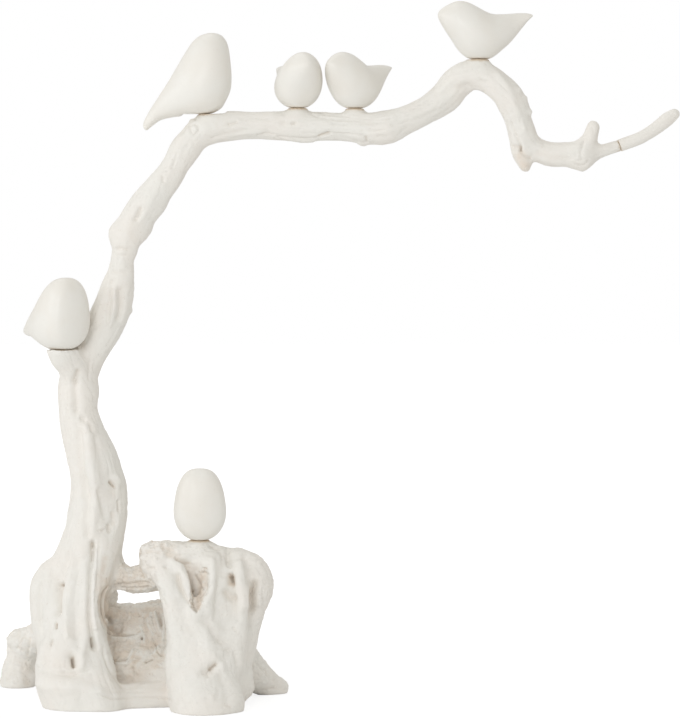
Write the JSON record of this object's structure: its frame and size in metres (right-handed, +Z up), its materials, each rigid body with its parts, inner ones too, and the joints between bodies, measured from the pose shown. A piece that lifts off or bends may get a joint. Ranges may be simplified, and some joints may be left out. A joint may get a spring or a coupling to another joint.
{
  "type": "bird on branch figurine",
  "caption": "Off-white cast figurine: small smooth birds perched on a gnarled driftwood branch that rises from its own root base and arches far over to one side.",
  "frame": {"origin": "on the flat underside, below the middle of the overall box", "axes": "+Z up, +X towards the free tip of the branch, -Y towards the viewer of the front"},
  "size_m": [0.452, 0.1473, 0.46],
  "materials": {
    "driftwood": "matt off-white painted cast resin, pinkish brown in the hollows",
    "bird_body": "smooth satin off-white painted cast resin"
  },
  "bodies": {
    "root": {"branch": "driftwood", "twig_tip": "driftwood", "bird_large": "bird_body", "bird_middle_left": "bird_body", "bird_middle_right": "bird_body", "bird_crest": "bird_body", "bird_perch": "bird_body", "bird_stump": "bird_body"}
  },
  "joints": []
}
